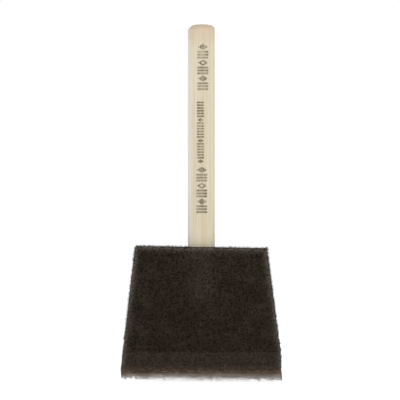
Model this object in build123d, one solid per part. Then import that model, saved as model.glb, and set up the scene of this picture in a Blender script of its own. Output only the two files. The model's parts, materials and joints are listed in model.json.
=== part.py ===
from build123d import *
import os
from math import pi, radians, sin

# Foam sponge brush, millimetres.
# +Z runs up the handle, X across the foam's width, Y through its thickness, front face towards -Y.
# The origin is the middle of the chisel edge at the foam's tip.

# ---------------------------------------------------------------- handle sizes
HANDLE_D = 12.7  # half inch hardwood dowel
OVERALL = 167.2  # chisel edge to the handle's crown
HANDLE_END_Z = 35.0  # the dowel's lower end, inside the socket
SEAT_RELIEF = 0.30  # the seated length is turned down by this much in radius
SEAT_CHAMFER = 0.8
CAP_H = 10.0  # the crowned length at the handle's top
CROWN_FALL = 0.75  # how far the end's shallow crown falls from middle to rim
END_ROUND_R = 2.3
RIM_LENGTH_TOL = 0.1  # for picking the cap's full-diameter edges

# ---------------------------------------------------------------- foam sizes
FOAM_TOP_Z = 62.3
FOAM_TOP_W = 62.4
FOAM_KNEE_Z = 14.0  # the sides turn nearly upright below this
FOAM_KNEE_W = 74.6
FOAM_TIP_W = 76.2  # nominal three inch brush
FOAM_T = 19.0
BEVEL_H = 12.7
EDGE_T = 1.2  # thickness left at the chisel edge
BULGE_R = 10.5  # swelling over the socket
BULGE_LOW_Z = 34.0
BULGE_FULL_Z = 42.0
BULGE_INSET = 0.3  # the bulge starts this far under the foam's face

# ---------------------------------------------------------------- flexing tip sizes
HINGE_Z = BEVEL_H + 0.3  # the line that the free foam bends about
FLEX_DEG = 30.0
FLEX_GAP = 0.06  # running gap between the two foam regions
TIP_R = FOAM_T / 2 - 0.02
SHOULDER_GAP = 0.2  # added to the shoulder's reach, and again to its height

# ---------------------------------------------------------------- stiffener paddle sizes
BLADE_T = 1.6
BLADE_TOP_Z = 60.3
BLADE_LOW_Z = HINGE_Z + TIP_R + 1.2
BLADE_TOP_W = 52.0
BLADE_LOW_W = 62.0
BLADE_CORNER_R = 4.0
SOCKET_OD = 15.2
SOCKET_FLOOR_T = 1.6
SOCKET_TAPER_H = 7.0  # the socket's foot runs out into the blade
RIB_W = 1.4
RIB_H = 0.9
RIB_X = (13.5, 21.0)
RIB_LOW_Z = 27.0
RIB_TOP_Z = 57.0
BLADE_HOLE_D = 5.0  # glue and foam bond through these
BLADE_HOLE_X = sum(RIB_X) / 2  # midway between the ribs
BLADE_HOLE_Z = (33.0, 41.0)

# ---------------------------------------------------------------- adhesive sizes
GLUE_GAP = 0.10  # film between dowel and socket
GLUE_FLOOR = 0.4
SEAM_T = 0.35  # hot-melt film between blade and foam
SEAM_LOW_Z = 45.0
SEAM_TOP_Z = 59.6
SEAM_HALF_W = 24.6
CLEAR = 0.10  # foam to paddle, dowel and glue

# ---------------------------------------------------------------- shared values
OVERLAP = 1.0  # short overrun of a cutting solid
OVERRUN = 5.0  # long overrun of a cutting solid

handle_r = HANDLE_D / 2
seat_r = handle_r - SEAT_RELIEF
bore_r = seat_r + GLUE_GAP
bore_floor_z = HANDLE_END_Z - GLUE_FLOOR
socket_r = SOCKET_OD / 2
socket_low_z = bore_floor_z - SOCKET_FLOOR_T
half_foam_t = FOAM_T / 2


# ---------------------------------------------------------------- helpers
def box(x0, x1, y0, y1, z0, z1):
    centre = Pos((x0 + x1) / 2, (y0 + y1) / 2, (z0 + z1) / 2)
    return centre * Box(x1 - x0, y1 - y0, z1 - z0)


def upright(radius, z0, z1):
    return Pos(0, 0, (z0 + z1) / 2) * Cylinder(radius, z1 - z0)


def mirrored_face(*stations):
    """A face symmetric about the Z axis, from (full width, z) stations going up."""
    right = [(width / 2, z) for width, z in stations]
    left = [(-x, z) for x, z in reversed(right)]
    return make_face(Polyline(*right, *left, close=True))


def prism(face, plane, half):
    """The face stood in the plane and run to half on either side of it."""
    return extrude(plane.offset(-half) * face, 2 * half)


def add_all(solid, extras):
    for extra in extras:
        solid = solid + extra
    return solid


# ---------------------------------------------------------------- handle dowel
def make_handle():
    crown_r = (handle_r**2 + CROWN_FALL**2) / (2 * CROWN_FALL)
    cap_z = OVERALL - CAP_H
    cap = upright(handle_r, cap_z, OVERALL) & Pos(0, 0, OVERALL - crown_r) * Sphere(crown_r)
    rim_length = 2 * pi * handle_r
    rims = [e for e in cap.edges() if abs(e.length - rim_length) < RIM_LENGTH_TOL]
    cap = fillet(ShapeList(rims).sort_by(Axis.Z)[-1], END_ROUND_R)
    stick = cap + upright(handle_r, FOAM_TOP_Z, cap_z)
    seated = upright(seat_r, HANDLE_END_Z, FOAM_TOP_Z)
    seated = chamfer(seated.edges().sort_by(Axis.Z)[0], SEAT_CHAMFER)
    return stick + seated


# ---------------------------------------------------------------- stiffener paddle
# "grow" swells a shape outwards, so the same shape also cuts the foam's slot.
def blade(grow):
    outline = mirrored_face((BLADE_LOW_W, BLADE_LOW_Z), (BLADE_TOP_W, BLADE_TOP_Z))
    outline = fillet(outline.vertices(), BLADE_CORNER_R)
    if grow:
        outline = offset(outline, grow)
    return prism(outline, Plane.XZ, BLADE_T / 2 + grow)


def socket_body(grow):
    """The socket's outside: a tube over a foot that runs out into the blade."""
    foot = Pos(0, 0, socket_low_z - SOCKET_TAPER_H / 2) * Cone(
        BLADE_T / 2 + grow, socket_r + grow, SOCKET_TAPER_H
    )
    return foot + upright(socket_r + grow, socket_low_z, BLADE_TOP_Z + grow)


def ribs(grow, low_z, top_z):
    """Bars through the blade, standing proud of both faces; grow acts in X and Y."""
    half_w = RIB_W / 2 + grow
    half_t = BLADE_T / 2 + RIB_H + grow
    return [
        box(side * x - half_w, side * x + half_w, -half_t, half_t, low_z, top_z)
        for x in RIB_X
        for side in (-1, 1)
    ]


def paddle_outside(grow):
    solid = blade(grow) + socket_body(grow)
    return add_all(solid, ribs(grow, RIB_LOW_Z - grow, RIB_TOP_Z + grow))


def make_paddle():
    paddle = paddle_outside(0) - upright(bore_r, bore_floor_z, BLADE_TOP_Z + OVERLAP)
    hole = Rot(90, 0, 0) * Cylinder(BLADE_HOLE_D / 2, BLADE_T * 2)
    for side in (-1, 1):
        for z in BLADE_HOLE_Z:
            paddle = paddle - Pos(side * BLADE_HOLE_X, 0, z) * hole
    return paddle


# ---------------------------------------------------------------- adhesive
def make_handle_glue(handle):
    return upright(bore_r, bore_floor_z, SEAM_TOP_Z) - handle


def film_blocks(grow):
    """The film's outside over the blade, round the socket and over each rib."""
    reach = SEAM_T + grow
    half_w = SEAM_HALF_W + grow
    half_t = BLADE_T / 2 + reach
    low_z, top_z = SEAM_LOW_Z - grow, SEAM_TOP_Z + grow
    return [
        box(-half_w, half_w, -half_t, half_t, low_z, top_z),
        upright(socket_r + reach, low_z, top_z),
        *ribs(reach, low_z, top_z),
    ]


def make_glue_seam(side):
    """The film on one side of the blade: -1 is the front, 1 the back."""
    plate, *rest = film_blocks(0)
    film = add_all(plate, rest) - paddle_outside(0)
    far_y = socket_r + OVERRUN
    y0, y1 = (-far_y, 0) if side < 0 else (0, far_y)
    far_x = SEAM_HALF_W + OVERRUN
    return film & box(-far_x, far_x, y0, y1, SEAM_LOW_Z - OVERLAP, SEAM_TOP_Z + OVERLAP)


# ---------------------------------------------------------------- foam
across = FOAM_TIP_W + 2 * OVERRUN


def foam_outline():
    """The whole foam, before the head and tip are parted."""
    front_view = mirrored_face(
        (FOAM_TIP_W, 0), (FOAM_KNEE_W, FOAM_KNEE_Z), (FOAM_TOP_W, FOAM_TOP_Z)
    )
    side_view = mirrored_face((EDGE_T, 0), (FOAM_T, BEVEL_H), (FOAM_T, FOAM_TOP_Z))
    foam = prism(front_view, Plane.XZ, FOAM_T) & prism(side_view, Plane.YZ, FOAM_TIP_W)

    bulge = upright(BULGE_R, BULGE_FULL_Z, FOAM_TOP_Z) + Pos(
        0, 0, (BULGE_LOW_Z + BULGE_FULL_Z) / 2
    ) * Cone(half_foam_t - BULGE_INSET, BULGE_R, BULGE_FULL_Z - BULGE_LOW_Z)
    # the bulge stays within the foam's height
    limit = box(-2 * BULGE_R, 2 * BULGE_R, -FOAM_T, FOAM_T, 0, FOAM_TOP_Z)
    return foam + (bulge & limit)


def hinge_roller(radius):
    return Pos(0, 0, HINGE_Z) * Rot(0, 90, 0) * Cylinder(radius, across)


def block_below(z):
    return box(-across, across, -FOAM_T, FOAM_T, -OVERRUN, z)


def make_foam_tip(foam):
    return foam & (hinge_roller(TIP_R) + block_below(HINGE_Z))


def paddle_slot():
    """Room for the paddle, its adhesive and the dowel."""
    slot = add_all(paddle_outside(CLEAR), film_blocks(CLEAR))
    return slot + upright(handle_r + CLEAR, BLADE_TOP_Z - OVERLAP, FOAM_TOP_Z + OVERRUN)


def make_foam_head(foam):
    # the thin lips beside the roller end where the tip's shoulder reaches at full flex
    shoulder_rise = (half_foam_t + SHOULDER_GAP) * sin(radians(FLEX_DEG))
    lip_z = HINGE_Z + shoulder_rise + SHOULDER_GAP
    head = foam - hinge_roller(TIP_R + FLEX_GAP) - block_below(lip_z)
    return head - paddle_slot()


# ---------------------------------------------------------------- build and write
handle_dowel = make_handle()
foam = foam_outline()
parts = {
    "handle_dowel": handle_dowel,
    "stiffener_paddle": make_paddle(),
    "handle_adhesive": make_handle_glue(handle_dowel),
    "glue_seam_front": make_glue_seam(-1),
    "glue_seam_back": make_glue_seam(1),
    "foam_head": make_foam_head(foam),
    "foam_tip": make_foam_tip(foam),
}
os.makedirs("parts", exist_ok=True)
for name, shape in parts.items():
    solids = shape.solids()
    piece = solids[0] if len(solids) == 1 else Compound(children=list(solids))
    piece.label = name
    export_step(piece, f"parts/{name}.step")
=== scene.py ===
"""A foam applicator on a round birch handle, with its stage, lights and camera.

It stands upright along Z: the foam's chisel edge is near z = 0 and the handle's free end is
on top. X runs across the foam's width, the front faces -Y and right is +X. Shapes are worked
out in millimetres and turned into metres when their meshes are made.
"""
import json
import math
from functools import reduce
from itertools import product

import bpy
import numpy as np
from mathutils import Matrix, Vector
from mathutils.kdtree import KDTree


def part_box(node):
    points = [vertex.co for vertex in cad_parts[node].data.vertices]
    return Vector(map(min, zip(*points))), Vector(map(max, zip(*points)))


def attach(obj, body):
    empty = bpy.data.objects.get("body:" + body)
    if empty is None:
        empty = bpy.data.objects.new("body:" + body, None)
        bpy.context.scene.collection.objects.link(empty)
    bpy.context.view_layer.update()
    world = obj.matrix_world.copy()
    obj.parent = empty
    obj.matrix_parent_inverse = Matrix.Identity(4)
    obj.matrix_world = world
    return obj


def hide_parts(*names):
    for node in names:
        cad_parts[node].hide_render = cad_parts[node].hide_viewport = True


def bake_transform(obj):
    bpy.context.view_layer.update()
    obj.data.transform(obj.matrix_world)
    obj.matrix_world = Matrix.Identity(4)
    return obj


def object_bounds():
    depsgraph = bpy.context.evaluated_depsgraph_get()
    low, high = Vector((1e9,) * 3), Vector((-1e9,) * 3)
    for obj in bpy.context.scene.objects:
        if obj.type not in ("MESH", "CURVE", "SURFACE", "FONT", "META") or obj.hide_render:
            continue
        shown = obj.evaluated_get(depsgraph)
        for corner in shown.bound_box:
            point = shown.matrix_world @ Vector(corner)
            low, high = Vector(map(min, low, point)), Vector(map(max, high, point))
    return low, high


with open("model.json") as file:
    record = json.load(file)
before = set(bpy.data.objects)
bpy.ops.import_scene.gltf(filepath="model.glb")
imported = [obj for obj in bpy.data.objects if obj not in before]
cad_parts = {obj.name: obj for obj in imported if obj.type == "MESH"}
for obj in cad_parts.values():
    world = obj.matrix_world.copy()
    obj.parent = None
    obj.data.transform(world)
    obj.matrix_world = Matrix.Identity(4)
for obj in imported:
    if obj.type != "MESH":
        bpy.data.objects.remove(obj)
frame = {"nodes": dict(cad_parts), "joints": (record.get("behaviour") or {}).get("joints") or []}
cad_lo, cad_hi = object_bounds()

MM = 0.001
ROOT, TIP = "handle", "tip"


# ------------------------------------------------------------------ the frame's sizes, in mm
def mm_box(node):
    return [np.array(corner) * 1000 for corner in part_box(node)]


_, tip_hi = mm_box("foam_tip")
_, head_hi = mm_box("foam_head")
stick_lo, stick_hi = mm_box("handle_dowel")
paddle_lo, paddle_hi = mm_box("stiffener_paddle")
hinge = [j for j in frame["joints"] if j["name"] == "tip_flex"][0]

TIP_HALF = float(tip_hi[0])  # half the width of the chisel edge
FOAM_HALF = float(tip_hi[1])  # half the foam's thickness
BULGE = float(head_hi[1]) - FOAM_HALF  # swelling over the socket
FOAM_TOP = float(head_hi[2])
STICK_R = float(stick_hi[0])
STICK_TOP, STICK_LOW = float(stick_hi[2]), float(stick_lo[2])
SOCKET_R = float(paddle_hi[1])
BLADE_LOW, BLADE_TOP = float(paddle_lo[2]), float(paddle_hi[2])
BLADE_HALF = float(paddle_hi[0])
SOCKET_LOW, FOOT_LOW = 33.0, 26.0  # lower ends of the socket and of its tapered foot
BEVEL_TOP = hinge["pos_m"][2] * 1000 - 0.3
EDGE_HALF = 0.55  # half the foam's thickness at z = 0
BEVEL_SLOPE = (FOAM_HALF - EDGE_HALF) / BEVEL_TOP
BEVEL_COS = math.cos(math.atan2(FOAM_HALF - EDGE_HALF, BEVEL_TOP))
SIDE_COS = 0.992  # corrects distances for the lean of the foam's sides
STEP = 0.30  # grid spacing of the foam's field


# ------------------------------------------------------------------ number helpers
def xyz(x, y=0, z=0):
    """The three coordinates, broadcast together and stacked on a last axis."""
    return np.stack(np.broadcast_arrays(x, y, z), -1)


def unit(vectors):
    return vectors / np.linalg.norm(vectors, axis=1)[:, None]


def largest(*values):
    return reduce(np.maximum, values)


def smoothstep(low, high, value):
    share = np.clip((value - low) / (high - low), 0, 1)
    return share * share * (3 - 2 * share)


def hashed(lattice, seed):
    """A repeatable number in 0..1 for each row of two or three whole numbers."""
    total = np.uint32(int(seed) * 1274126177 % 4294967296)
    for axis, prime in zip(range(lattice.shape[-1]), (374761393, 668265263, 2147483647)):
        total = total + lattice[..., axis].astype(np.uint32) * np.uint32(prime)
    total = (total ^ (total >> np.uint32(13))) * np.uint32(1274126177)
    total = (total ^ (total >> np.uint32(16))) * np.uint32(2246822519)
    total = total ^ (total >> np.uint32(15))
    return total.astype(np.float64) / 4294967295.0


def noise(points, size, seed):
    """Smooth value noise in -1..1. size is that of a feature, in mm, one number or three."""
    spot = np.asarray(points, float) / np.asarray(size, float) + 1000.0
    base = np.floor(spot).astype(np.int64)
    part = spot - base
    part = part * part * part * (part * (part * 6 - 15) + 10)
    total = np.zeros(spot.shape[:-1])
    for corner in product((0, 1), repeat=3):
        share = np.where(corner, part, 1 - part)
        weight = share[..., 0] * share[..., 1] * share[..., 2]
        total += weight * hashed(base + corner, seed)
    return total * 2 - 1


def fbm(points, size, seed, octaves):
    """Noise summed over octaves, each half the size of the one before."""
    size = np.asarray(size, float)
    total, amount, out = 0.0, 1.0, 0.0
    for n in range(octaves):
        out = out + amount * noise(points, size / 2**n, seed + 17 * n)
        total += amount
        amount *= 0.55
    return out / total


def hash_vectors(lattice, seed):
    return np.stack([hashed(lattice, seed + n) for n in range(3)], -1)


def noise_vectors(points, size, seed):
    return np.stack([noise(points, size, seed + n) for n in range(3)], -1)


def spread(mask, step, rounds):
    """The mask after step is applied to it again and again, until it settles."""
    for _ in range(rounds):
        more = step(mask)
        if (more == mask).all():
            break
        mask = more
    return mask


def grow(mask):
    """The mask, one cell larger along each axis."""
    out = mask.copy()
    for axis in range(3):
        wider, source = np.moveaxis(out, axis, 0), np.moveaxis(mask, axis, 0)
        wider[1:] |= source[:-1]
        wider[:-1] |= source[1:]
    return out


# ------------------------------------------------------------------ mesh helpers
def link(name, data):
    obj = bpy.data.objects.new(name, data)
    bpy.context.scene.collection.objects.link(obj)
    return obj


def make_object(name, verts_mm, faces, smooth=True):
    """An object whose faces all have the same number of corners."""
    mesh = bpy.data.meshes.new(name)
    verts = np.asarray(verts_mm, np.float32) * MM
    faces = np.asarray(faces, np.int32)
    count, sides = faces.shape
    mesh.vertices.add(len(verts))
    mesh.vertices.foreach_set("co", verts.ravel())
    mesh.loops.add(count * sides)
    mesh.loops.foreach_set("vertex_index", faces.ravel())
    mesh.polygons.add(count)
    mesh.polygons.foreach_set("loop_start", np.arange(count, dtype=np.int32) * sides)
    if smooth:
        mesh.polygons.foreach_set("use_smooth", np.ones(count, bool))
    mesh.update(calc_edges=True)
    mesh.validate(clean_customdata=False)
    return link(name, mesh)


def add_field(obj, name, values):
    """A per-vertex attribute: a vector where values has columns, else a float."""
    values = np.asarray(values, np.float32)
    kind, key = ("FLOAT_VECTOR", "vector") if values.ndim == 2 else ("FLOAT", "value")
    field = obj.data.attributes.new(name, kind, "POINT")
    field.data.foreach_set(key, values.ravel())


def add_uv(obj, corner_uv):
    layer = obj.data.uv_layers.new(name="OFBake")
    layer.data.foreach_set("uv", np.asarray(corner_uv, np.float32).ravel())


def read_corners(mesh):
    """(vertex of each face corner, face of each face corner, centre of each face in mm)"""
    count = len(mesh.polygons)
    vertex = np.empty(len(mesh.loops), np.int32)
    mesh.loops.foreach_get("vertex_index", vertex)
    sides = np.empty(count, np.int32)
    mesh.polygons.foreach_get("loop_total", sides)
    centre = np.empty(count * 3, np.float32)
    mesh.polygons.foreach_get("center", centre)
    return vertex, np.repeat(np.arange(count), sides), centre.reshape(-1, 3) * 1000


def surface_nets(field, origin, step):
    """A closed quad mesh of the surface where field crosses zero. It is negative inside."""
    inside = field < 0
    corners = list(product((0, 1), repeat=3))
    size = [n - 1 for n in field.shape]
    count = np.zeros(size, np.uint8)
    for corner in corners:
        count += inside[tuple(slice(c, n + c) for c, n in zip(corner, size))]
    active = (count > 0) & (count < 8)
    cells = np.argwhere(active)
    index = np.full(active.shape, -1, np.int32)
    index[active] = np.arange(len(cells), dtype=np.int32)
    value = {c: field[tuple((cells + c).T)].astype(float) for c in corners}

    # one vertex per active cell, at the mean of the crossings on its edges
    total, hits = np.zeros((len(cells), 3)), np.zeros(len(cells))
    for start in corners:
        for axis in range(3):
            if start[axis]:
                continue
            end = tuple(1 if n == axis else start[n] for n in range(3))
            first, last = value[start], value[end]
            cross = (first < 0) != (last < 0)
            point = np.repeat(np.array([start], float), len(cells), 0)
            point[:, axis] += np.where(cross, first / np.where(cross, first - last, 1), 0)
            total += point * cross[:, None]
            hits += cross
    verts = np.asarray(origin) + step * (cells + total / hits[:, None])

    # one quad round every grid edge that crosses the surface
    quads = []
    for axis in range(3):
        side, other = (axis + 1) % 3, (axis + 2) % 3
        low, high = [slice(1, -1)] * 3, [slice(1, -1)] * 3
        low[axis], high[axis] = slice(0, -1), slice(1, None)
        below, above = inside[tuple(low)], inside[tuple(high)]
        for leaving, flip in ((below & ~above, False), (~below & above, True)):
            at = np.argwhere(leaving)
            ring = []
            for side_step, other_step in ((0, 0), (1, 0), (1, 1), (0, 1)):
                cell = at.copy()
                cell[:, side] += side_step
                cell[:, other] += other_step
                ring.append(index[tuple(cell.T)])
            quad = np.stack(ring, 1)
            quads.append(quad[:, ::-1] if flip else quad)
    return verts, np.concatenate(quads)


# ------------------------------------------------------------------ foam shape
# Rows are z, share of TIP_HALF, amount added to it in mm: how far each side reaches from x = 0.
RIGHT_SIDE = (
    (0, 1, 0.05), (2.2, 1, -0.14), (4.1, 1, -0.47), (8.9, 1, -0.51),
    (14.2, 1, -0.83), (19.0, 1, -1.66), (FOAM_TOP, 0.8135, -0.29),
)
LEFT_SIDE = ((0, 1, 0.05), (3.3, 1, -0.09), (20.0, 0.9495, -0.11), (FOAM_TOP, 0.8215, -0.26))


def side_at(table, z):
    heights, share, added = np.transpose(table)
    return np.interp(z, heights, share * TIP_HALF + added)


def beyond_sides(x, right, left):
    return np.maximum(x - right, -x - left) * SIDE_COS


def half_thickness(x, z):
    half = np.interp(z, [0, BEVEL_TOP], [EDGE_HALF, FOAM_HALF])
    # the bevel's shoulder is slightly rounded over
    half = half - 0.28 * np.exp(-(((z - BEVEL_TOP) / 1.6) ** 2))
    # swelling over the socket, wide and soft, fading out below its foot
    lift = smoothstep(31.0, 40.0, z) * (1 - 0.35 * smoothstep(52, FOAM_TOP, z))
    return half + BULGE * lift * np.exp(-((np.abs(x) / 6.4) ** 2.4))


def bevel_lean(z):
    """Turns a distance along Y into one square to the face."""
    return np.where(z < BEVEL_TOP, BEVEL_COS, 1.0)


def chisel_z(x):
    """Height of the chisel edge, which is cut slightly out of square."""
    return 0.62 - 0.0095 * x


def above_edge(points):
    return points[:, 2] - chisel_z(points[:, 0])


def top_edge(x):
    """Height of the cut top, also slightly out of square."""
    return FOAM_TOP - 0.41 - 0.0175 * x


def outer_field(x, y, z):
    """Distance to the foam's outer skin, in mm, negative inside the foam."""

    def wobble(coarse, fine, seed):
        heights = xyz(z)
        return 0.16 * noise(heights, coarse, seed) + 0.07 * noise(heights, fine, seed + 1)

    right = side_at(RIGHT_SIDE, z) + wobble(coarse=7.0, fine=1.7, seed=3)
    left = side_at(LEFT_SIDE, z) + wobble(coarse=8.0, fine=1.9, seed=5)
    past_side = beyond_sides(x, right, left)

    # front and back faces, each with its own soft unevenness above the edge
    half, flat, uneven = half_thickness(x, z), xyz(x, 0, z), smoothstep(2, 9, z)
    front = half + 0.10 * fbm(flat, size=9.0, seed=11, octaves=2) * uneven
    back = half + 0.10 * fbm(flat, size=9.0, seed=12, octaves=2) * uneven
    past_face = np.maximum((-y - front) * bevel_lean(z), (y - back) * bevel_lean(z))

    # the cut top is slightly skew and wavy
    top = top_edge(x) + 0.14 * fbm(xyz(x, y), size=(9.0, 7.0, 1), seed=21, octaves=3)
    # it rises a little round the handle and is pinched along the slit
    radial = np.sqrt(x**2 + y**2)
    top = top + 0.30 * np.exp(-(((radial - STICK_R - 0.9) / 1.6) ** 2))
    top = top - 0.55 * np.exp(-((y / 0.55) ** 2)) * (
        np.abs(x) < 0.70 * TIP_HALF
    ) * smoothstep(STICK_R, STICK_R + 1.5, radial)
    past_end = np.maximum(z - top, -z)

    # edges are rounded, more so higher up
    rounding = np.clip(0.12 + 0.055 * z, 0.12, 0.65)
    past = [distance + rounding for distance in (past_side, past_face, past_end)]
    corner = np.sqrt(sum(np.maximum(distance, 0) ** 2 for distance in past))
    return corner + np.minimum(largest(*past), 0) - rounding


def inner_field(x, y, z):
    """Distance to the room for the blade, the socket and the handle, negative within it."""
    gap, hole_gap = 0.10, 0.06
    slot_half = 0.8  # half the thickness of the slot, before its room
    room = 0.35  # more space at the blade's faces and round the socket
    blade = np.interp(z, [BLADE_LOW, BLADE_TOP], [BLADE_HALF, BLADE_HALF * 0.84])
    above = z - BLADE_TOP - gap
    slot = largest(
        np.abs(x) - blade - gap, np.abs(y) - slot_half - room - gap, above, BLADE_LOW - gap - z
    )
    radial = np.sqrt(x**2 + y**2)
    tube = largest(radial - SOCKET_R - room - gap, above, SOCKET_LOW - gap - z)
    taper = np.interp(z, [FOOT_LOW, SOCKET_LOW], [0.8, SOCKET_R])
    foot = largest(radial - taper - gap, z - SOCKET_LOW - 0.2, FOOT_LOW - z)
    hole = np.maximum(radial - STICK_R - hole_gap, BLADE_TOP - 1 - z)
    return np.minimum(np.minimum(slot, tube), np.minimum(foot, hole))


def carve_pores(outer, axes):
    """Open cells, cut into a thin skin, and right through the thin chisel edge.

    They are balls on a jittered lattice.
    """
    cell, seed = 0.86, 40
    band = (outer < 0.5) & (outer > -1.9) & ((outer > -1.15) | (axes[2] < 6))
    at = np.argwhere(band)
    points = np.stack([axis[column] for axis, column in zip(axes, at.T)], -1)
    # the lattice is warped, so that its rows don't show
    spot = (points + 0.55 * noise_vectors(points, size=3.1, seed=seed + 1)) / cell
    base = np.floor(spot).astype(np.int64)
    wall = np.full(len(points), 9.0)
    for offset in product((-1, 0, 1), repeat=3):
        near = base + offset
        centre = near + 0.12 + 0.76 * hash_vectors(near, seed + 5)
        radius = 0.34 + 0.20 * hashed(near, seed + 8)
        wall = np.minimum(wall, np.linalg.norm(spot - centre, axis=1) - radius)
    z = points[:, 2]
    # cells open up towards the chisel edge, until little is left but strands
    opening = 0.21 * (1 - smoothstep(0.3, 4.6, z)) + 0.03 * (1 - smoothstep(4, 13, z))
    depth = 0.62 + 1.6 * (1 - smoothstep(2.0, 6.0, z))
    skin = outer[band]
    cut = -np.maximum((wall - opening) * cell, -(skin + depth))
    soft = 0.10  # width of the rounding where a cell meets the skin
    carved = outer.copy()
    carved[band] = (
        np.maximum(skin, cut) + np.maximum(soft - np.abs(skin - cut), 0) ** 2 / (4 * soft)
    )
    return carved


def foam_mesh():
    ends = (
        (-TIP_HALF - 1.6, TIP_HALF + 1.6),
        (-FOAM_HALF - BULGE - 1.0, FOAM_HALF + BULGE + 1.0),
        (-0.9, FOAM_TOP + 2.2),
    )
    axes = [np.arange(low, high + STEP, STEP) for low, high in ends]
    x, y, z = np.meshgrid(*axes, indexing="ij", sparse=True)
    outer, inner = outer_field(x, y, z), inner_field(x, y, z)
    # ragged lower end of the solid foam
    flat = xyz(x, y)
    rag = chisel_z(x) + 2.5
    rag = rag + 0.38 * noise(flat, size=0.9, seed=31) + 0.22 * noise(flat, size=2.6, seed=32)
    outer = np.maximum(outer, rag - z)
    field = np.maximum(carve_pores(outer, axes), -inner)
    # foam that isn't joined to the core goes
    inside = field < 0
    core = (outer < -2.0) & (inner > 0.3)
    joined = spread(core & inside, lambda mask: grow(mask) & inside, 70)
    field[inside & ~joined] = 0.02
    # bubbles that don't reach the outside are filled
    inside = field < 0
    air = (outer > 0.3) | (inner < -0.3)
    air = spread(air, lambda mask: grow(mask) & ~inside, 24)
    field[~inside & ~air] = -0.02
    return surface_nets(field.astype(np.float32), [axis[0] for axis in axes], STEP)


def outer_at(points):
    """Distances past the sides, the faces and the top at loose points, as three columns."""
    x, y, z = points.T
    past_side = beyond_sides(x, side_at(RIGHT_SIDE, z), side_at(LEFT_SIDE, z))
    past_face = (np.abs(y) - half_thickness(x, z)) * bevel_lean(z)
    return xyz(past_side, past_face, z - top_edge(x))


def skin_fields(points):
    """(depth below the skin, distance from the nearest edge, whether a face is nearest)"""
    past = outer_at(points)
    second = np.sort(past, 1)[:, 1]
    on_face = past[:, 1] >= np.maximum(past[:, 0], past[:, 2])
    return np.clip(-past.max(1), 0, 1.2), np.clip(-second, 0, 10), on_face


def add_foam_fields(obj, points, sunk, edge, face):
    add_field(obj, "rest_mm", points)
    add_field(obj, "sunk", sunk)
    add_field(obj, "edge", edge)
    add_field(obj, "face", face)


def foam_uv(obj, verts):
    vertex, face, centre = read_corners(obj.data)
    past = outer_at(centre.astype(float))
    nearest = np.argmax(past, 1)
    hidden = (past.max(1) < -1.3) & (centre[:, 2] > 15)
    on_side, on_end = nearest == 0, nearest == 2
    island = np.select(
        [hidden, on_end, on_side & (centre[:, 0] < 0), on_side, centre[:, 1] < 0],
        [5, 4, 2, 3, 0],
        1,
    )[face]
    scale = 1 / 160.0
    x, y, z = verts[vertex].T
    spots = (
        (0.255 + scale * x, 0.01 + scale * (z + 1)),  # front
        (0.755 - scale * x, 0.01 + scale * (z + 1)),  # back
        (0.10 - scale * y, 0.47 + scale * (z + 1)),  # left
        (0.30 + scale * y, 0.47 + scale * (z + 1)),  # right
        (0.70 + scale * x, 0.55 + scale * y),  # top
        (  # inner faces
            0.70 + 0.3 * scale * x,
            0.80 + 0.3 * scale * (z - 30) + 0.02 * scale * y,
        ),
    )
    uv = np.zeros((len(vertex), 2))
    for n, spot in enumerate(spots):
        uv[island == n] = np.stack(spot, 1)[island == n]
    add_uv(obj, uv)


def build_foam():
    verts, quads = foam_mesh()
    obj = make_object("foam_sponge", verts, quads)
    add_foam_fields(obj, verts, *skin_fields(verts))
    foam_uv(obj, verts)
    return obj, verts


foam, foam_verts = build_foam()


# ------------------------------------------------------------------ strands
BAR_FACES = np.array(
    [[0, 1, 4], [0, 4, 3], [1, 2, 5], [1, 5, 4], [2, 0, 3], [2, 3, 5], [0, 2, 1], [3, 4, 5]]
)


def strand_bars(name, direction, start, start_r, end, end_r):
    """(object, vertices): a thin three-sided bar from each start to its end."""
    upright = np.abs(direction[:, 2:3]) >= 0.8
    across = unit(np.cross(direction, np.where(upright, [[1.0, 0.0, 0.0]], [[0.0, 0.0, 1.0]])))
    other = np.cross(direction, across)
    ring = []
    for base, radius in ((start, start_r), (end, end_r)):
        for n in range(3):
            turn = 2 * math.pi * n / 3
            ring.append(base + (across * math.cos(turn) + other * math.sin(turn)) * radius)
    verts = np.stack(ring, 1).reshape(-1, 3)
    faces = (np.arange(len(start))[:, None, None] * 6 + BAR_FACES).reshape(-1, 3)
    return make_object(name, verts, faces, smooth=False), verts


# ------------------------------------------------------------------ open strands at the edge
CELL = 0.925  # size of one of the fringe's cells
SOLID_FROM = 2.6  # height above the chisel edge where the foam is solid


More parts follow.
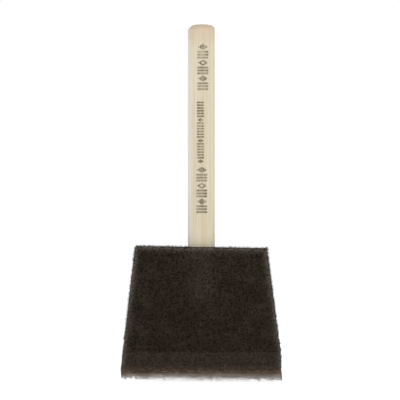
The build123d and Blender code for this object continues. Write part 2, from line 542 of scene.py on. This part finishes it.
def fringe_lattice():
    """(whole-number places in quarter cells, points in mm) for the joints of a tilted lattice."""
    low = np.array([-TIP_HALF - 0.5, -FOAM_HALF * 0.45, -1.5])
    high = np.array([TIP_HALF + 0.5, FOAM_HALF * 0.45, 4.3])
    tilt_x, tilt_y = math.radians(17), math.radians(11)
    cos_x, sin_x = math.cos(tilt_x), math.sin(tilt_x)
    cos_y, sin_y = math.cos(tilt_y), math.sin(tilt_y)
    about_x = np.array([[1, 0, 0], [0, cos_x, -sin_x], [0, sin_x, cos_x]])
    about_y = np.array([[cos_y, 0, sin_y], [0, 1, 0], [-sin_y, 0, cos_y]])
    tilt = about_x @ about_y
    corners = np.array(list(product(*zip(low, high)))) @ tilt
    first = np.floor(corners.min(0) / (CELL / 4)).astype(int) - 2
    last = np.ceil(corners.max(0) / (CELL / 4)).astype(int) + 2
    found = []
    for odd in range(3):
        for turn, start in ((1, 0), (1, 2)):
            even, other = (odd + turn) % 3, (odd + 2) % 3
            span = [None] * 3
            span[odd] = np.arange(first[odd] // 2 * 2 + 1, last[odd], 2)
            span[even] = np.arange(first[even] // 4 * 4 + start, last[even], 4)
            span[other] = np.arange(first[other] // 4 * 4 + 2 - start, last[other], 4)
            places = np.stack(np.meshgrid(*span, indexing="ij"), -1).reshape(-1, 3)
            points = (places * (CELL / 4)) @ tilt.T
            found.append(places[((points > low - 0.3) & (points < high + 0.3)).all(1)])
    places = np.concatenate(found)
    return places, (places * (CELL / 4)) @ tilt.T


def place_key(places):
    """One sortable whole number for each lattice place."""
    x, y, z = places.astype(np.int64).T
    return ((x + 4096) * 8192 + y + 4096) * 8192 + z + 4096


def fringe_joints():
    """The lattice's joints near the thin edge, jittered, in the order of their keys."""
    places, points = fringe_lattice()
    points = points + 0.30 * noise_vectors(points, size=2.3, seed=80)
    points = points + (hash_vectors(places, 84) - 0.5) * 0.30 * CELL
    past_side = outer_at(points)[:, 0]
    above = above_edge(points)
    # the strands thin out along the skewed edge itself
    past_face = (np.abs(points[:, 1]) - half_thickness(points[:, 0], above + 0.55)) * BEVEL_COS
    rag = -1.95 + 0.30 * np.abs(noise(points * (1, 1, 0), size=1.1, seed=87))
    loose = 0.05 + 0.32 * (1 - smoothstep(-0.6, 1.2, above))
    keep = (past_face < loose) & (past_side < 0.08) & (above > rag) & (above < 3.3)
    keep &= (above < SOLID_FROM) | (np.maximum(past_side, past_face) > -0.75)
    places, points = places[keep], points[keep]
    order = np.argsort(place_key(places))
    return places[order], points[order]


def neighbour_pairs(places):
    key = place_key(places)
    pairs = []
    for offset in ((0, 1, 1), (0, 1, -1), (1, 0, 1), (1, 0, -1), (1, 1, 0), (1, -1, 0)):
        wanted = place_key(places + offset)
        at = np.clip(np.searchsorted(key, wanted), 0, len(key) - 1)
        hit = np.nonzero(key[at] == wanted)[0]
        pairs.append(np.stack([hit, at[hit]], 1))
    return np.concatenate(pairs)


def thin_pairs(places, points, pairs):
    """The pairs that stay as strands."""
    # low joints hang in threads: each hangs from one higher neighbour,
    # and a thread runs up from each loose end
    first_z, last_z = points[pairs[:, 0], 2], points[pairs[:, 1], 2]
    upward = np.where((first_z < last_z)[:, None], pairs, pairs[:, ::-1])
    upward = upward[np.lexsort((hashed(upward, 93), upward[:, 0]))]
    first = np.ones(len(upward), bool)
    first[1:] = upward[1:, 0] != upward[:-1, 0]
    parent = np.arange(len(points))
    parent[upward[first, 0]] = upward[first, 1]
    high = above_edge(points)
    chance = 0.12 + 0.85 * np.clip((high + 1.9) / 2.2, 0, 1) ** 1.7

    def with_parents(live):
        more = live.copy()
        more[parent[live]] = True
        return more

    live = spread((high > 0.45) | (hashed(places, 94) < chance), with_parents, 60)
    start, end = pairs.T
    middle = (points[start] + points[end]) / 2
    thread = (parent[start] == end) | (parent[end] == start)
    luck = hashed(pairs, 91) < 0.74 + 0.12 * smoothstep(0.0, 1.8, above_edge(middle))
    pairs = pairs[live[start] & live[end] & (thread | luck)]

    # only strands that reach the solid foam stay
    def with_neighbours(tied):
        more = tied.copy()
        more[pairs[tied[pairs[:, 0]], 1]] = True
        more[pairs[tied[pairs[:, 1]], 0]] = True
        return more

    tied = spread(high > SOLID_FROM, with_neighbours, 200)
    return pairs[tied[pairs[:, 0]] & tied[pairs[:, 1]]]


def build_fringe():
    """The cell walls of open foam, left as bare strands where the edge is thin.

    They follow a jittered lattice of 14-sided cells.
    """
    places, points = fringe_joints()
    pairs = thin_pairs(places, points, neighbour_pairs(places))
    start, end = points[pairs[:, 0]], points[pairs[:, 1]]
    direction = unit(end - start)
    radius = (0.050 + 0.022 * hashed(pairs, 92))[:, None]
    overlap = direction * radius * 0.6
    obj, verts = strand_bars(
        "foam_fringe", direction, start - overlap, radius, end + overlap, radius
    )
    count = len(verts)
    edge = np.clip(-outer_at(verts)[:, 0], 0, 10)
    add_foam_fields(obj, verts, sunk=np.zeros(count), edge=edge, face=np.ones(count))
    # unwrap: the front half and the back half, each looked at square on
    scale = 1 / 80.0
    x, y, z = verts.T
    back = np.repeat(y.reshape(-1, 6).mean(1) > 0, 6)
    uv = np.stack([0.5 + x * scale, 0.1 + z * scale + 0.4 * back + y * scale * 0.1], 1)
    add_uv(obj, uv[read_corners(obj.data)[0]])
    return obj


fringe = build_fringe()


# ------------------------------------------------------------------ broken cell walls
def fuzz_feet(rng):
    """(point in the skin, outward direction, whether it is on a cut side or top) of strands."""
    density = 0.42  # per square mm of the front and back
    rim_more = 5.2  # times as many on the sides and top
    low, inset = 3.2, 0.06
    wide, tall, deep = 2 * TIP_HALF, FOAM_TOP - low, 2 * FOAM_HALF
    feet, outs, rims = [], [], []

    def scatter(count):
        return rng.random((int(count), 2)).T

    def add(foot, out, rim):
        feet.append(foot)
        outs.append(np.broadcast_to(out, foot.shape))
        rims.append(np.full(len(foot), rim))

    for sign in (-1, 1):
        # front, then back
        across, up = scatter(wide * tall * density)
        x, z = (across - 0.5) * wide, low + up * tall
        keep = (x < side_at(RIGHT_SIDE, z) - 0.1) & (-x < side_at(LEFT_SIDE, z) - 0.1)
        keep &= z < top_edge(x)
        x, z = x[keep], z[keep]
        fall = np.where(z < BEVEL_TOP, -BEVEL_SLOPE, 0.0)
        add(xyz(x, sign * (half_thickness(x, z) - inset), z), xyz(0, sign, fall), False)
        # left, then right
        across, up = scatter(deep * tall * density * rim_more)
        y, z = (across - 0.5) * deep, low + up * tall
        side = side_at(RIGHT_SIDE if sign > 0 else LEFT_SIDE, z)
        keep = np.abs(y) < half_thickness(sign * side, z)
        add(xyz(sign * (side - inset), y, z)[keep], (sign, 0, 0), True)
    across, along = scatter(wide * deep * density * rim_more)
    x, y = (across - 0.5) * wide, (along - 0.5) * deep
    z = top_edge(x)
    keep = (x < side_at(RIGHT_SIDE, z)) & (-x < side_at(LEFT_SIDE, z))
    keep &= np.hypot(x, y) > STICK_R + 0.8
    add(xyz(x, y, z - inset)[keep], (0, 0, 1), True)
    return np.concatenate(feet), unit(np.concatenate(outs)), np.concatenate(rims)


def build_fuzz(skin):
    """Short strands over the foam's skin, many in leaning pairs that meet at a point."""
    rng = np.random.default_rng(5)
    foot, out, rim = fuzz_feet(rng)
    count = len(foot)
    along = rng.normal(size=(count, 3))
    along -= (along * out).sum(1)[:, None] * out
    along = unit(along)
    # most are short, and a few long ones thin out from the cut sides and top
    luck = rng.random(count)
    reach = np.where(rim, 0.06 + 1.02 * luck**4.4, 0.12 + 0.52 * luck**2.2)
    half = 0.16 + 0.26 * rng.random(count)
    lean = half * rng.uniform(-0.6, 0.6, count)
    peak = foot + out * reach[:, None] + along * lean[:, None]
    paired = rng.random(count) < 0.6
    spacing = along * half[:, None]
    start = np.concatenate([foot - spacing, (foot + spacing)[paired]])
    end = np.concatenate([peak, peak[paired]])
    # each is rooted in the skin, just under the nearest point of the foam's mesh,
    # so that none floats over a cell
    tree = KDTree(len(skin))
    for n, point in enumerate(skin):
        tree.insert(point, n)
    tree.balance()
    nearest = skin[[tree.find(point)[1] for point in start]]
    start = nearest - 0.05 * np.concatenate([out, out[paired]])
    direction = unit(end - start)
    obj, verts = strand_bars(
        "foam_fuzz", direction, start - direction * 0.05, 0.050, end, 0.027
    )
    _, edge, face = skin_fields(verts)
    add_foam_fields(obj, verts, sunk=np.zeros(len(verts)), edge=edge, face=face)
    scale = 1 / 100.0
    x, y, z = verts.T
    uv = np.stack([0.5 + x * scale, 0.1 + z * scale + y * scale * 0.3], 1)
    add_uv(obj, uv[read_corners(obj.data)[0]])
    return obj


fuzz = build_fuzz(foam_verts)


# ------------------------------------------------------------------ handle
BARE_FROM = 62.0  # height where the finely meshed, bare length begins
STAMP_HALF = 4.2  # half the width of the finely meshed front


def stick_profile():
    """(radius, z) rows from the middle of the lower end to the middle of the crown."""
    seat = STICK_R - 0.30  # radius of the length inside the foam
    rows = [(radius, STICK_LOW) for radius in (0.0, 2.2, 4.2, seat - 0.8)]
    rows += [(seat - 0.4, STICK_LOW + 0.4), (seat, STICK_LOW + 0.8)]
    rows += [(seat, z) for z in np.linspace(STICK_LOW + 3, BARE_FROM - 0.4, 10)]
    rows += [(STICK_R - 0.02, BARE_FROM - 0.2)]
    end = STICK_TOP - 2.72
    rows += [(STICK_R, z) for z in np.arange(BARE_FROM, end, 0.20)]
    # round-over, an arc from the side to the shallow crown
    rounding = 2.3
    for turn in np.linspace(0, 1, 13) * math.radians(80.5):
        radius = STICK_R - rounding * (1 - math.cos(turn))
        rows.append((radius, end + rounding * math.sin(turn)))
    rim_r, rim_z = rows[-1]
    for share in np.linspace(0.08, 1, 12):
        radius = rim_r * (1 - share)
        rows.append((radius, rim_z + (STICK_TOP - rim_z) * (1 - (radius / rim_r) ** 2)))
    return np.array(rows)


def ink_marks(across, z):
    """(distance into the stamp's shapes in mm, how well the wood took the ink) at each place.

    across is the distance round the handle from its front line. The stamp is equal bars and
    lozenges in a plain repeat, with nothing to read.
    """
    inside = np.full_like(across, -9.0)

    def put(distance):
        np.maximum(inside, distance, out=inside)

    def bar(left, right, low, high):
        put(np.minimum(np.minimum(across - left, right - across), np.minimum(z - low, high - z)))

    def lozenge(middle, height, half_w, half_h, hollow=0.0):
        away = np.abs(across - middle) / half_w + np.abs(z - height) / half_h
        unit_mm = half_w * half_h / math.hypot(half_w, half_h)
        depth = (0.99 - away) * unit_mm
        if hollow:
            depth = np.minimum(depth, (away - hollow + 0.04) * unit_mm)
        put(depth)

    def motif(left, right, top, bottom, bars=3):
        """Lozenges, solid and hollow by turns, with a few equal bars between them."""
        tall, pitch = 3.0, 1.36
        at, hollow = top, 0.0
        while at - tall > bottom:
            half_w = (right - left) / 2 * 0.95
            lozenge((left + right) / 2, at - tall / 2, half_w, tall / 2, hollow)
            at, hollow = at - tall, 0.45 - hollow
            for _ in range(bars):
                if at - pitch < bottom:
                    break
                bar(left, right, at - 1.26, at - 0.30)
                at -= pitch
            at -= 0.34

    # upper and lower groups: broad bars between lozenges
    motif(left=-1.95, right=3.45, top=157.8, bottom=133.0)
    motif(left=-2.45, right=2.85, top=99.9, bottom=77.0)
    # middle group: a close ladder of equal bars, with a small lozenge after every sixth
    left, right, at, n = -2.15, 1.20, 130.6, 0
    while at > 102.0:
        if n % 7 == 6:
            lozenge((left + right) / 2, at - 0.85, half_w=1.65, half_h=1.0)
            at -= 1.95
        else:
            bar(left, right, at - 0.86, at)
            at -= 1.30
        n += 1
    # worn: edges that wander a little and a patchy take-up on the grain
    points = xyz(across, 0, z)
    inside += 0.045 * noise(points, size=(0.45, 1, 0.8), seed=74)
    patch = 0.86 + 0.34 * fbm(points, size=(1.6, 1, 2.8), seed=71, octaves=2)
    grain = 0.92 + 0.26 * noise(points, size=(0.22, 1, 3.2), seed=72)
    ghost = 0.92 + 0.18 * noise(points, size=(9, 1, 11.0), seed=73)
    heavy = np.select([z > 131.5, z > 101.5], [0.88, 1.25], 0.93)
    return inside, np.clip(patch * grain * ghost * heavy, 0, 1)


def stick_uv(obj, verts, angle, seam):
    """The side as one upright strip, the two ends as discs."""
    vertex, face, centre = read_corners(obj.data)
    x, y, z = centre.T
    is_end = (np.hypot(x, y) < 4.9) & ((z > STICK_TOP - 1.2) | (z < STICK_LOW + 0.3))
    # keep every corner of a face on the same side of the seam, at the first column
    corner_turn = np.mod(angle[vertex] - seam, 2 * math.pi)
    face_turn = np.mod(np.arctan2(x, -y)[face] - seam, 2 * math.pi)
    wraps = (face_turn > math.pi) & (corner_turn < 0.5)
    corner_turn = np.where(wraps, corner_turn + 2 * math.pi, corner_turn)
    scale = 1 / 138.0
    disc_up = np.where(z > 100, 0.8, 0.6)[face]
    x, y, z = verts[vertex].T
    strip = [0.02 + corner_turn * STICK_R * scale, 0.02 + (z - STICK_LOW) * scale]
    disc = [0.5 + x * scale, disc_up + y * scale]
    add_uv(obj, np.where(is_end[face], disc, strip).T)


def build_stick():
    # fine columns at the stamped front, coarse at the back; angle 0 faces -Y
    front = np.arange(-STAMP_HALF, STAMP_HALF, 0.14) / STICK_R
    rest = np.linspace(front[-1], 2 * math.pi + front[0], 62)[1:-1]
    columns = np.concatenate([front, rest])
    inner = stick_profile()[1:-1]
    around, radius, height = np.broadcast_arrays(columns, inner[:, :1], inner[:, 1:])
    points = xyz(radius * np.sin(around), -radius * np.cos(around), height)
    # lengthwise grain: raised and sunk streaks, a few open pores, and a soft swell
    grain = 0.030 * noise(points, size=(0.55, 0.55, 26), seed=51)
    grain = grain + 0.016 * noise(points, size=(0.3, 0.3, 9), seed=52)
    pores = np.clip(noise(points, size=(0.34, 0.34, 5.0), seed=53) - 0.62, 0, 1) * -0.16
    swell = 0.030 * noise(points, size=(6, 6, 30), seed=54)
    amount = smoothstep(60.0, 63.0, height) * (radius > 3)
    # the upper end is worn away on the left
    worn = -0.80 * smoothstep(STICK_TOP - 2.7, STICK_TOP - 1.2, height)
    worn = worn * np.clip(-np.sin(around), 0, 1)
    bump = (grain + pores + swell - 0.03) * amount + worn
    crown = smoothstep(STICK_TOP - 1.0, STICK_TOP - 0.45, height)
    bump_z = 0.035 * noise(points, size=(0.5, 0.5, 0.5), seed=55) * crown - 0.03 * crown
    slim = radius + bump * (1 - crown) + worn * crown * radius / STICK_R
    verts = xyz(slim * np.sin(around), -slim * np.cos(around), height + bump_z)
    verts = verts.reshape(-1, 3)
    low, high = len(verts), len(verts) + 1
    verts = np.concatenate([verts, [[0, 0, STICK_LOW], [0, 0, STICK_TOP - 0.03]]])

    # rings of quads, then a fan of triangles at each end
    count = len(columns)
    this = np.arange(count)
    after = (this + 1) % count
    faces = []
    for start in range(0, (len(inner) - 1) * count, count):
        up = start + count
        faces += np.stack([start + this, start + after, up + after, up + this], 1).tolist()
    last = (len(inner) - 1) * count
    faces += np.stack([np.full(count, low), after, this], 1).tolist()
    faces += np.stack([last + this, last + after, np.full(count, high)], 1).tolist()
    mesh = bpy.data.meshes.new("wooden_handle")
    mesh.from_pydata((verts * MM).tolist(), [], faces)
    mesh.polygons.foreach_set("use_smooth", np.ones(len(mesh.polygons), bool))
    mesh.update()
    obj = link("wooden_handle", mesh)

    signed = np.where(around > math.pi, around - 2 * math.pi, around)
    across = np.concatenate([(signed * STICK_R).ravel(), [0, 0]])
    inside, take = ink_marks(across, verts[:, 2])
    add_field(obj, "ink", np.clip(0.5 + inside / 0.5, 0, 1) * (np.abs(across) < 5))
    add_field(obj, "take", take)
    add_field(obj, "rest_mm", verts)
    add_field(obj, "endface", np.concatenate([crown.ravel(), [0, 1]]))
    stick_uv(obj, verts, np.concatenate([around.ravel(), [0, 0]]), seam=front[0])
    return obj


stick = build_stick()


# ------------------------------------------------------------------ materials
def srgb(*levels):
    """A linear colour from sRGB levels in 0..255."""
    shares = [level / 255 for level in levels]
    return (*(s / 12.92 if s <= 0.04045 else ((s + 0.055) / 1.055) ** 2.4 for s in shares), 1.0)


class Shader:
    """A short way to write a material's node tree."""

    def __init__(self, name):
        self.material = bpy.data.materials.new(name)
        self.material.use_nodes = True
        self.tree = self.material.node_tree
        self.tree.nodes.clear()
        out = self.tree.nodes.new("ShaderNodeOutputMaterial")
        self.bsdf = self.tree.nodes.new("ShaderNodeBsdfPrincipled")
        self.tree.links.new(self.bsdf.outputs[0], out.inputs[0])

    def put(self, node, inputs):
        """Links or sets each input; None leaves it as it is."""
        for key, value in inputs.items():
            if isinstance(value, bpy.types.NodeSocket):
                self.tree.links.new(value, node.inputs[key])
            elif value is not None:
                node.inputs[key].default_value = value

    def surface(self, inputs):
        self.put(self.bsdf, inputs)

    def node(self, kind, inputs, **props):
        node = self.tree.nodes.new(kind)
        for key, value in props.items():
            setattr(node, key, value)
        self.put(node, inputs)
        return node

    def attr(self, name, out="Fac"):
        return self.node("ShaderNodeAttribute", {}, attribute_name=name).outputs[out]

    def object_coords(self):
        return self.node("ShaderNodeTexCoord", {}).outputs["Object"]

    def split(self, vector):
        return self.node("ShaderNodeSeparateXYZ", {0: vector}).outputs

    def math(self, operation, *values):
        inputs = dict(enumerate(values))
        return self.node("ShaderNodeMath", inputs, operation=operation).outputs[0]

    def times(self, first, second):
        return self.math("MULTIPLY", first, second)

    def remap(self, value, span, to=(0.0, 1.0)):
        """Eases from to[0] to to[1] as value goes from span[0] to span[1]."""
        inputs = {"Value": value, "From Min": span[0], "From Max": span[1]}
        inputs.update({"To Min": to[0], "To Max": to[1]})
        node = self.node("ShaderNodeMapRange", inputs, interpolation_type="SMOOTHSTEP")
        return node.outputs[0]

    def mix(self, share, first, second):
        inputs = {"Factor": share, 6: first, 7: second}
        return self.node("ShaderNodeMix", inputs, data_type="RGBA").outputs[2]

    def noise(self, vector, scale=1.0, detail=2.0, rough=0.5, distort=0.0):
        inputs = {"Vector": vector, "Scale": scale, "Detail": detail}
        inputs.update({"Roughness": rough, "Distortion": distort})
        return self.node("ShaderNodeTexNoise", inputs).outputs["Fac"]

    def voronoi(self, vector, scale):
        inputs = {"Vector": vector, "Scale": scale}
        return self.node("ShaderNodeTexVoronoi", inputs).outputs["Distance"]

    def stretch(self, vector, *scale):
        return self.node("ShaderNodeMapping", {"Vector": vector, "Scale": scale}).outputs[0]

    def bump(self, height, strength, distance, normal=None):
        inputs = {"Height": height, "Strength": strength, "Distance": distance}
        return self.node("ShaderNodeBump", {**inputs, "Normal": normal}).outputs[0]


def foam_material():
    mat = Shader("foam")
    rest = mat.attr("rest_mm", "Vector")
    z = mat.split(rest)[2]
    cloud = mat.remap(mat.noise(rest, scale=0.16, detail=3.0), span=(0.3, 0.7))
    body = mat.mix(cloud, srgb(33, 26, 20), srgb(47, 39, 32))
    # fine speckle of strands and cell mouths
    fine = mat.voronoi(rest, scale=1.9)
    body = mat.mix(mat.remap(fine, span=(0.15, 0.75), to=(0.0, 0.42)), body, srgb(32, 24, 18))
    fleck = mat.noise(rest, scale=1.4)
    body = mat.mix(mat.remap(fleck, span=(0.56, 0.74), to=(0.0, 0.30)), body, srgb(88, 78, 69))
    # painted shade: floors of the open cells are painted darker, as the shade that falls in them
    sunk = mat.remap(mat.attr("sunk"), span=(0.12, 0.62), to=(0.0, 0.58))
    body = mat.mix(sunk, body, srgb(23, 16, 12))
    # painted highlight: cut edges are painted greyer, standing in for light that loose strands
    # catch
    #     # and that comes through the thin foam there: fades as exp(-(0.8 edge)^1.25)
    gone = mat.math("POWER", mat.times(mat.attr("edge"), 0.80), 1.25)
    near = mat.math("MINIMUM", mat.math("POWER", 2.718, mat.times(gone, -1.0)), 0.76)
    near = mat.times(near, mat.remap(mat.attr("face"), span=(0.0, 1.0), to=(0.22, 0.56)))
    patch = mat.remap(mat.noise(rest, scale=1.6), span=(0.36, 0.64), to=(0.40, 1.44))
    body = mat.mix(mat.times(near, patch), body, srgb(118, 110, 102))
    # painted highlight: the foam's swelling over the socket is painted a little lighter
    x = mat.split(rest)[0]
    over = mat.times(
        mat.remap(mat.math("ABSOLUTE", x), span=(2.5, 7.0), to=(1.0, 0.0)),
        mat.remap(z, span=(31.0, 42.0)),
    )
    body = mat.mix(mat.times(over, 0.15), body, srgb(80, 72, 63))
    # the bevel is a little lighter than the faces
    cut = mat.remap(z, span=(BEVEL_TOP - 0.9, BEVEL_TOP + 0.5), to=(0.17, 0.0))
    body = mat.mix(cut, body, srgb(88, 79, 71))
    # painted light: the thin edge is painted browner, then paler, standing in for light that
    # comes through the strands
    tan = mat.remap(z, span=(2.2, 7.0), to=(1.0, 0.0))
    body = mat.mix(mat.times(tan, 0.72), body, srgb(92, 76, 61))
    pale = mat.times(
        mat.remap(z, span=(1.0, 4.6), to=(1.0, 0.0)),
        mat.remap(z, span=(-0.5, 2.0), to=(0.05, 1.0)),
    )
    body = mat.mix(mat.times(pale, 0.90), body, srgb(158, 134, 112))
    mat.surface({
        "Base Color": body,
        "Roughness": mat.remap(fleck, span=(0.2, 0.8), to=(0.86, 1.0)),
        "Specular IOR Level": 0.07,
        "Sheen Weight": 0.02,
        "Sheen Roughness": 0.6,
        "Sheen Tint": (0.75, 0.7, 0.65, 1),
    })
    cells = mat.bump(mat.voronoi(rest, scale=2.6), strength=0.55, distance=0.00022)
    grit = mat.noise(rest, scale=5.0)
    mat.surface({"Normal": mat.bump(grit, strength=0.35, distance=0.0001, normal=cells)})
    return mat.material


def wood_material():
    mat = Shader("birch")
    rest = mat.attr("rest_mm", "Vector")
    x, _, z = mat.split(rest)
    streak = mat.noise(mat.stretch(rest, 1.5, 1.5, 0.035), detail=4.0, rough=0.6)
    broad = mat.noise(mat.stretch(rest, 0.28, 0.28, 0.010), distort=0.4)
    base = mat.mix(mat.remap(broad, span=(0.3, 0.7)), srgb(202, 193, 171), srgb(212, 203, 183))
    share = mat.remap(streak, span=(0.35, 0.72), to=(0.0, 0.62))
    base = mat.mix(share, base, srgb(188, 175, 149))
    band = mat.noise(mat.stretch(rest, 0.62, 0.62, 0.008), detail=1.0)
    share = mat.remap(band, span=(0.50, 0.68), to=(0.0, 0.40))
    base = mat.mix(share, base, srgb(187, 173, 147))
    share = mat.remap(band, span=(0.48, 0.32), to=(0.0, 0.35))
    base = mat.mix(share, base, srgb(222, 214, 196))
    # short open pores of the timber
    pore = mat.noise(mat.stretch(rest, 3.6, 3.6, 0.16))
    share = mat.remap(pore, span=(0.64, 0.78), to=(0.0, 0.40))
    base = mat.mix(share, base, srgb(168, 146, 118))
    # greyer on the left, yellower on the right
    share = mat.remap(streak, span=(0.36, 0.64))
    left_tone = mat.mix(share, srgb(216, 213, 203), srgb(203, 199, 187))
    share = mat.remap(band, span=(0.50, 0.66), to=(0.0, 0.55))
    left_tone = mat.mix(share, left_tone, srgb(197, 188, 168))
    base = mat.mix(mat.remap(x, span=(-6.4, -3.2), to=(0.85, 0.0)), base, left_tone)
    share = mat.remap(x, span=(2.2, 6.0), to=(0.0, 0.40))
    base = mat.mix(share, base, srgb(206, 196, 170))
    # a slightly darker band of heartwood runs up the middle
    heart = mat.times(
        mat.remap(x, span=(-3.6, -2.2)), mat.remap(x, span=(2.6, 4.4), to=(1.0, 0.0))
    )
    base = mat.mix(mat.times(heart, 0.42), base, srgb(193, 181, 156))
    # end grain
    rings = mat.noise(mat.stretch(rest, 0.9, 0.35, 1.0), detail=3.0, rough=0.6)
    share = mat.remap(rings, span=(0.35, 0.65))
    pith = mat.mix(share, srgb(196, 178, 150), srgb(178, 158, 130))
    pits = mat.remap(mat.voronoi(rest, scale=2.4), span=(0.0, 0.35), to=(0.45, 0.0))
    pith = mat.mix(pits, pith, srgb(140, 118, 92))
    base = mat.mix(mat.attr("endface"), base, pith)
    # painted light: the length by the foam is painted paler, more so at its sides, against the
    # shade
    #     # the foam casts there; a darker line runs just right of the middle, and the free end is
    #     tanned
    flank = mat.remap(mat.math("ABSOLUTE", x), span=(2.6, 6.0), to=(0.17, 0.50))
    painted_flank_light = mat.times(flank, mat.remap(z, span=(62.5, 79.0), to=(1.0, 0.0)))
    base = mat.mix(painted_flank_light, base, srgb(235, 226, 201))
    off_line = mat.math("ABSOLUTE", mat.math("SUBTRACT", x, 1.4))
    dark = mat.remap(off_line, span=(0.5, 1.9), to=(0.38, 0.0))
    dark = mat.times(dark, mat.remap(z, span=(72.0, 96.0), to=(1.0, 0.0)))
    base = mat.mix(dark, base, srgb(186, 171, 142))
    tanned = mat.remap(z, span=(STICK_TOP - 12.0, STICK_TOP - 3.0), to=(0.0, 0.62))
    base = mat.mix(tanned, base, srgb(195, 174, 151))
    # the stamp
    ink = mat.times(mat.remap(mat.attr("ink"), span=(0.38, 0.62)), mat.attr("take"))
    base = mat.mix(mat.times(ink, 0.96), base, srgb(98, 88, 64))
    mat.surface({
        "Base Color": base,
        "Roughness": mat.remap(streak, span=(0.3, 0.7), to=(0.52, 0.70)),
        "Specular IOR Level": 0.32,
    })
    grain = mat.bump(streak, strength=0.25, distance=0.00012)
    mat.surface({"Normal": mat.bump(pore, strength=0.30, distance=0.00010, normal=grain)})
    return mat.material


def plastic_material(name, light, dark, rough, grain=0.6, strength=0.12):
    """rough is the range of roughness, grain and strength are those of the fine bumps."""
    mat = Shader(name)
    place = mat.stretch(mat.object_coords(), 1000, 1000, 1000)
    flow = mat.stretch(place, 0.05, 0.05, 0.12)
    flow = mat.noise(flow, detail=3.0, rough=0.6, distort=0.5)
    base = mat.mix(mat.remap(flow, span=(0.3, 0.7)), light, dark)
    fine = mat.noise(place, scale=grain, detail=3.0, rough=0.6)
    mat.surface({
        "Base Color": base,
        "Roughness": mat.remap(fine, span=(0.25, 0.75), to=rough),
        "Normal": mat.bump(fine, strength=strength, distance=0.00006),
    })
    return mat.material


foam_mat, wood_mat = foam_material(), wood_material()
paddle_mat = plastic_material(
    "paddle_plastic", light=srgb(231, 229, 222), dark=srgb(221, 218, 209), rough=(0.34, 0.50)
)
glue_mat = plastic_material(
    "wood_glue", light=srgb(226, 212, 168), dark=srgb(214, 196, 146), rough=(0.22, 0.42),
    grain=0.3, strength=0.3,
)
melt_mat = plastic_material(
    "hot_melt", light=srgb(228, 218, 190), dark=srgb(214, 202, 170), rough=(0.24, 0.40),
    grain=0.25, strength=0.35,
)
for obj in (foam, fringe, fuzz):
    obj.data.materials.append(foam_mat)
stick.data.materials.append(wood_mat)
for node, material in {
    "stiffener_paddle": paddle_mat,
    "handle_adhesive": glue_mat,
    "glue_seam_front": melt_mat,
    "glue_seam_back": melt_mat,
}.items():
    for slot in frame["nodes"][node].material_slots:
        slot.material = material

# ------------------------------------------------------------------ what each piece replaces
for obj, pieces in (
    (foam, ("foam_head", "foam_tip")),
    (fringe, ("foam_tip",)),
    (fuzz, ("foam_head", "foam_tip")),
):
    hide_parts(*pieces)
    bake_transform(obj)
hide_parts("handle_dowel")
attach(stick, ROOT)


# ------------------------------------------------------------------ stage, light, camera (m)
def build_floor():
    bpy.ops.mesh.primitive_plane_add(size=1, location=(0, 0, cad_lo[2] - 0.0016))
    floor = bpy.context.object
    floor.name = "floor"
    floor.scale = (14, 14, 1)
    mat = Shader("floor_paper")
    tone = mat.noise(mat.stretch(mat.object_coords(), 60, 60, 60))
    grey, pale = (0.90, 0.90, 0.895, 1), (0.915, 0.915, 0.91, 1)
    mat.surface({
        "Base Color": mat.mix(mat.remap(tone, span=(0.3, 0.7)), grey, pale),
        "Roughness": 0.9,
        "Specular IOR Level": 0.1,
        "Emission Color": (1, 1, 1, 1),
        "Emission Strength": 0.5,
    })
    floor.data.materials.append(mat.material)


def build_world():
    """Pure white to the camera, a dimmer, slightly warm white as light."""
    world = bpy.data.worlds.new("studio")
    bpy.context.scene.world = world
    world.use_nodes = True
    nodes, links = world.node_tree.nodes, world.node_tree.links
    nodes.clear()
    out = nodes.new("ShaderNodeOutputWorld")
    seen = nodes.new("ShaderNodeBackground")
    lit = nodes.new("ShaderNodeBackground")
    for background, color, strength in (
        (seen, (1, 1, 1, 1), 1.0),
        (lit, (1.0, 0.995, 0.985, 1), 0.62),
    ):
        background.inputs[0].default_value = color
        background.inputs[1].default_value = strength
    path = nodes.new("ShaderNodeLightPath")
    pick = nodes.new("ShaderNodeMixShader")
    links.new(path.outputs["Is Camera Ray"], pick.inputs[0])
    links.new(lit.outputs[0], pick.inputs[1])
    links.new(seen.outputs[0], pick.inputs[2])
    links.new(pick.outputs[0], out.inputs[0])


def softbox(name, at, size, watts, tint=(1, 1, 1)):
    """A rectangular light, turned towards the middle of the product."""
    data = bpy.data.lights.new(name, "AREA")
    data.shape = "RECTANGLE"
    data.size, data.size_y = size
    data.energy = watts
    data.color = tint
    obj = link(name, data)
    obj.location = at
    obj.rotation_mode = "QUATERNION"
    obj.rotation_quaternion = (Vector(at) - Vector((0, 0, 0.08))).to_track_quat("Z", "Y")


def build_camera():
    distance, span = 3.0, 0.1887  # span is the width of the view at the product
    data = bpy.data.cameras.new("camera")
    camera = link("camera", data)
    bpy.context.scene.camera = camera
    data.sensor_width = 36.0
    data.lens = 36.0 * distance / span
    data.clip_start, data.clip_end = 0.1, 30.0
    camera.location = (-0.00064, -distance, 0.08425)
    camera.rotation_euler = (math.radians(90), 0, 0)


build_floor()
build_world()
softbox("key", at=(-0.45, -0.75, 0.75), size=(0.7, 0.7), watts=3.6, tint=(1.0, 0.99, 0.97))
softbox("fill", at=(0.75, -0.45, 0.35), size=(0.6, 0.6), watts=1.6, tint=(1.0, 0.98, 0.95))
softbox("back", at=(0.15, 0.85, 0.65), size=(0.8, 0.6), watts=3.0)
view = bpy.context.scene.view_settings
view.view_transform = "Standard"
view.look = "None"
view.exposure = 0.0
view.gamma = 1.0
build_camera()

bpy.context.view_layer.update()
